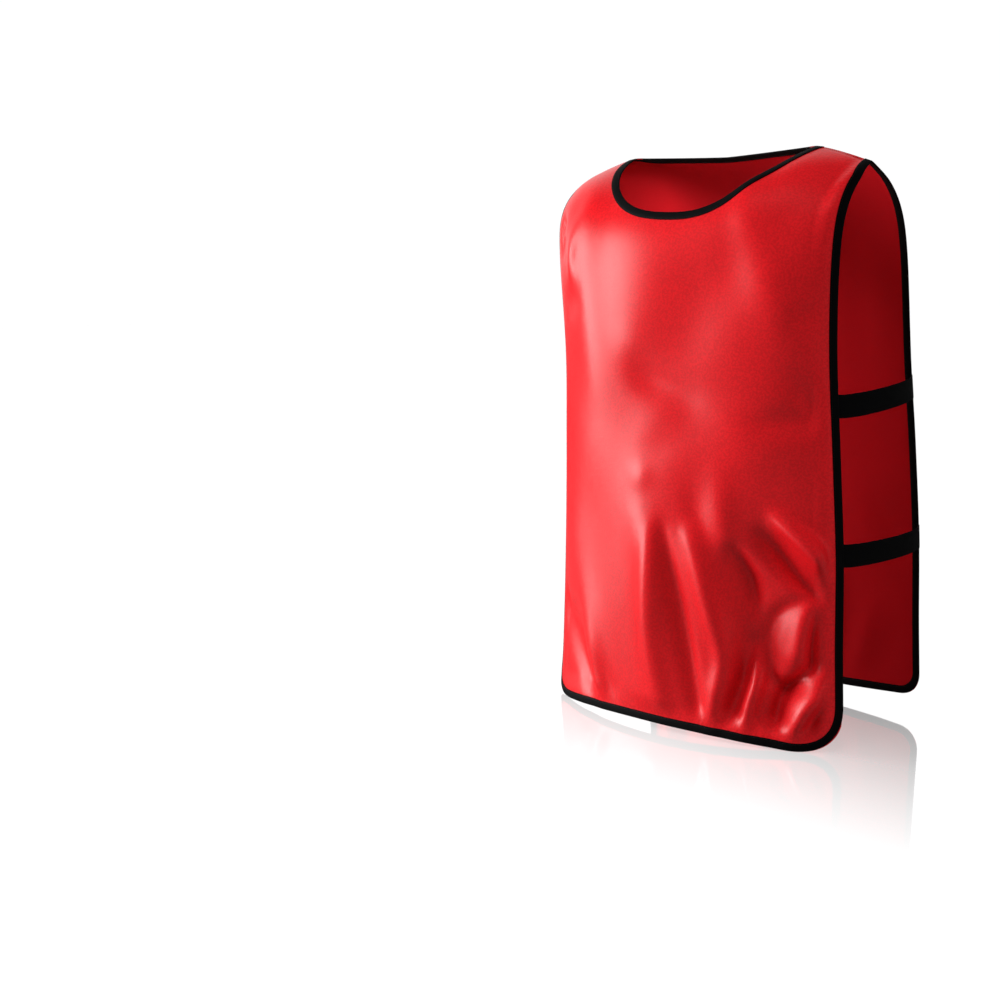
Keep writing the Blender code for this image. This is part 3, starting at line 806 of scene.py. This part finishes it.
def strapEnd(drop, cut, side):
    # place on the edge, way into the panel and outward normal
    half = readSection(drop, "halfWidth")
    run = runOf(drop - shoulderDrop(half))
    place = clothPoint(half, run, cut)
    inner = clothPoint(half - binding["width"], run, cut)
    normal = normalOf(clothPoint, half - binding["width"] / 2, run, cut)
    inward = (inner - place) / np.linalg.norm(inner - place, axis=-1, keepdims=True)
    return [vector * np.array((side, 1.0, 1.0)) for vector in (place, inward, normal)]


def makeStrap(name, drops, side, material):
    lengthwise, crosswise = straps["lengthwise"], straps["crosswise"]
    ups = np.linspace(-0.5, 0.5, crosswise + 1) * straps["width"]
    start, startIn, startNormal = strapEnd(drops[0] - ups, frontPanel, side)
    end, endIn, endNormal = strapEnd(drops[1] - ups, backPanel, side)
    start, end = start - startNormal * straps["under"], end - endNormal * straps["under"]
    laps = np.array(straps["lapShares"])[None, :, None] * straps["lap"]
    part = np.linspace(0.0, 1.0, lengthwise + 1 - 2 * laps.size)[None, :, None]
    eased = smoothStep(part)
    leave = part * (1.0 - part) ** 2 * -startIn[:, None] * straps["bow"]
    arrive = part * part * (1.0 - part) * -endIn[:, None] * straps["bow"]
    bow = start[:, None] * (1.0 - eased) + end[:, None] * eased + leave + arrive
    first = start[:, None] + startIn[:, None] * laps
    last = end[:, None] + endIn[:, None] * laps[:, ::-1]
    places = np.concatenate([first, bow, last], axis=1)
    mesh = bmesh.new()
    bmesh.ops.create_grid(mesh, x_segments=lengthwise, y_segments=crosswise, size=1.0)
    travelled = np.cumsum(np.linalg.norm(np.diff(places[crosswise // 2], axis=0), axis=1))
    travelled = np.concatenate([[0.0], travelled])
    layer = mesh.loops.layers.uv.new("cut")
    mesh.verts.ensure_lookup_table()
    index = {vertex: divmod(vertex.index, lengthwise + 1) for vertex in mesh.verts}
    for vertex, (row, column) in index.items():
        vertex.co = places[row, column]
    for face in mesh.faces:
        for loop in face.loops:
            row, column = index[loop.vert]
            loop[layer].uv = (travelled[column], ups[row])
    piece = newPiece(name, mesh, [material])
    wall = piece.modifiers.new("elastic", "SOLIDIFY")
    wall.thickness, wall.offset = straps["wall"], 0.0
    return piece


def tackRows(drops, side):
    # rows of stitches across each end of a strap: on the tape outside and on the elastic inside
    rows = []
    span = stitching["tackSpan"]
    ups = np.linspace(-span, span, stitching["readings"]["tack"]) * straps["width"]
    outside = frontPanel["lift"] + binding["clothRoom"] + binding["tape"]
    inside = straps["under"] + straps["wall"] / 2
    for drop, cut in zip(drops, (frontPanel, backPanel)):
        place, inward, normal = strapEnd(drop - ups, cut, side)
        for share in stitching["tackShares"]:
            line = place + inward * binding["width"] * share
            for lift in (outside, -inside):
                rows.append(rowMarks(line + normal * lift, normal, stitching["tackPitch"]))
    return rows


def shoulderRows(cut):
    # a row beside each shoulder seam, from binding to binding
    rows = []
    ends = bodyForm["neckHalf"] + binding["width"], bodyForm["shoulderHalf"] - binding["width"]
    span = np.linspace(*ends, stitching["readings"]["seam"])
    for x in (span, -span):
        run = np.full(x.shape, stitching["seamAway"])
        normal = normalOf(clothPoint, x, run, cut)
        line = clothPoint(x, run, cut) + normal * (cut["lift"] + cut["wall"] / 2)
        rows.append(rowMarks(line, normal, stitching["pitch"]))
    return rows


satinLook = {
    # colour, colour of the darker flecks, roughness, specular level
    "redSatin": ((0.89, 0.0110, 0.0165, 1), (0.66, 0.0085, 0.0125, 1), 0.34, 0.25),
    "redSatinInside": ((0.66, 0.0085, 0.015, 1), (0.63, 0.008, 0.014, 1), 0.85, 0.05),
    "cloudNoise": (9.0, 3.0),     # scale and detail
    "cloudSteps": (0.3, 0.75),
    "cloudShare": 0.4,
    "fleckNoise": (420.0, 2.0),
    "fleckSteps": (0.36, 0.64),
    "fleckShare": 0.6,
    "fleckHeight": 0.18,
    "weave": (0.0011, 0.0009),    # pitch of the threads each way
    "weaveHeight": 0.015,
    "unevenNoise": (45.0, 2.0),
    "puckerPitch": 0.0075,
    "puckerShift": 14.0,          # radians that the unevenness moves a pucker
    "puckerHeight": 0.16,
    "bump": (0.001, 0.8),         # metres that a height of 1 stands for, and strength
}
tapeLook = {
    # roughness, pitch of the ribs, their depth
    "blackTape": (0.72, 0.0012, 0.00008),
    "blackElastic": (0.80, 0.0016, 0.00015),
    "dark": (0.0010, 0.0010, 0.0012, 1),
    "light": (0.0035, 0.0035, 0.0038, 1),
    "shine": 0.08,
    "weft": 0.7,                  # its pitch, in ribs
    "shares": (0.6, 0.4),         # of rib and weft in the tone
    "weftHeight": 0.4,
    "strength": 0.6,
}
threadLook = {
    "blackThread": (0.004, 0.004, 0.0045, 1),
    "redThread": (0.45, 0.006, 0.010, 1),
    "roughness": 0.55,
    "shine": 0.25,
    "twistNoise": (900.0, 1.0),
    "lighter": 2.2,
}


def waved(axis, pitch):
    return (axis * (2 * math.pi / pitch)).sine()


def satinMaterial(name):
    look = satinLook
    base, dark, roughness, shine = look[name]
    shader = Shader(name, roughness, Specular_IOR_Level=shine)
    u, v = shader.flatMap()
    cloud, fleck, uneven = (shader.noise(*look[kind + "Noise"]) for kind in ("cloud", "fleck", "uneven"))
    tone = cloud.steps(*look["cloudSteps"]) * look["cloudShare"]
    tone = tone + fleck.steps(*look["fleckSteps"]) * look["fleckShare"]
    shader.feed("Base Color", shader.mixed(tone, dark, base))
    weave = waved(u, look["weave"][0]) * waved(v, look["weave"][1])
    turn = 2 * math.pi / look["puckerPitch"]
    along, across = ((axis * turn + uneven * look["puckerShift"]).sine() for axis in (u, v))
    drawn = along * shader.attribute("hemNear") + across * shader.attribute("sideNear")
    height = weave * look["weaveHeight"] + fleck * look["fleckHeight"] + drawn * uneven * look["puckerHeight"]
    shader.bump(height, *look["bump"])
    return shader.material


def tapeMaterial(name):
    look = tapeLook
    roughness, ribs, depth = look[name]
    shader = Shader(name, roughness, Specular_IOR_Level=look["shine"])
    u, v = shader.flatMap()
    rib = waved(u, ribs) * 0.5 + 0.5
    weft = waved(v, ribs * look["weft"]) * 0.5 + 0.5
    tone = rib * look["shares"][0] + weft * look["shares"][1]
    shader.feed("Base Color", shader.mixed(tone, look["dark"], look["light"]))
    shader.bump(rib + weft * look["weftHeight"], depth, look["strength"])
    return shader.material


def threadMaterial(name):
    look = threadLook
    shader = Shader(name, look["roughness"], Specular_IOR_Level=look["shine"])
    twist = shader.noise(*look["twistNoise"])
    lighter = tuple(look["lighter"] * part for part in look[name][:3]) + (1,)
    shader.feed("Base Color", shader.mixed(twist, look[name], lighter))
    return shader.material


def floorMaterial():
    # white to the camera, with a mirror that fades out in front of the bib; it throws little light back
    shader = Shader("paleFloor", studio["floorRough"], Specular_IOR_Level=0.0)
    shader.surface.inputs["Base Color"].default_value = (*[studio["floorGrey"]] * 3, 1)
    shader.surface.inputs["Emission Color"].default_value = (1, 1, 1, 1)
    seen = shader.node("ShaderNodeLightPath")
    shader.feed("Emission Strength", seen * studio["floorGlow"])
    place = shader.node("ShaderNodeTexCoord", output="Object")
    split = shader.node("ShaderNodeSeparateXYZ", None, {0: place})
    front = Socket(shader, split.link.node.outputs[1]) * -1
    share = (1 - front.steps(*studio["mirrorFade"])) * studio["mirrorShare"]
    gloss = {"Color": (1, 1, 1, 1), "Roughness": studio["mirrorRough"]}
    mirror = shader.node("ShaderNodeBsdfGlossy", None, gloss)
    ways = {0: share * seen, 1: Socket(shader, shader.surface.outputs[0]), 2: mirror}
    both = shader.node("ShaderNodeMixShader", None, ways)
    shader.tree.links.new(both.link, shader.tree.nodes["Material Output"].inputs["Surface"])
    return shader.material


makeCamera(cameraSetup)
makeLights(studio)
floorMesh = bmesh.new()
bmesh.ops.create_grid(floorMesh, x_segments=1, y_segments=1, size=studio["floorSize"] / 2)
bmesh.ops.translate(floorMesh, verts=floorMesh.verts, vec=(0, 0, studio["floorHeight"]))
floor = newPiece("floor", floorMesh, [floorMaterial()], smooth=False)
bpy.context.scene.view_settings.view_transform = "Standard"
print("studio ready")

satins = [satinMaterial("redSatin"), satinMaterial("redSatinInside")]
tape, elastic = tapeMaterial("blackTape"), tapeMaterial("blackElastic")

front = makePanel("frontCloth", frontPanel, satins)
back = makePanel("backCloth", backPanel, satins)
print("panels made")

edgeRing = bindingRing(sideAndHem, 1.0)
neckRing = bindingRing(neckLine, -1.0)
edgeTape = makeBinding("edgeTape", edgeRing, tape)
neckTape = makeBinding("neckTape", neckRing, tape)
thread = threadMaterial("blackThread")
edgeStitches = sewRing("edgeStitches", edgeRing, thread)
neckStitches = sewRing("neckStitches", neckRing, thread)
print("bindings made and sewn")

pieces = {"front_panel": front, "back_panel": back, "edge_binding": edgeTape, "neck_binding": neckTape}
for level, drops in straps["levels"].items():
    for sideName, side in (("left", 1.0), ("right", -1.0)):
        strap = makeStrap(f"elastic_{level}_{sideName}", drops, side, elastic)
        pieces[f"strap_{level}_{sideName}"] = strap
tacks = [row for drops in straps["levels"].values() for side in (1.0, -1.0) for row in tackRows(drops, side)]
tackLength = stitching["length"] * stitching["tackLength"]
tackStitches = sewStitches("tackStitches", tacks, tackLength, thread)
seamRows = shoulderRows(frontPanel) + shoulderRows(backPanel)
seamStitches = sewStitches("seamStitches", seamRows, stitching["length"], threadMaterial("redThread"))
print("straps made and sewn")

for node, piece in pieces.items():
    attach(piece, "root")
    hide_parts(node)
for piece in (edgeStitches, neckStitches, tackStitches, seamStitches):
    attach(piece, "root")
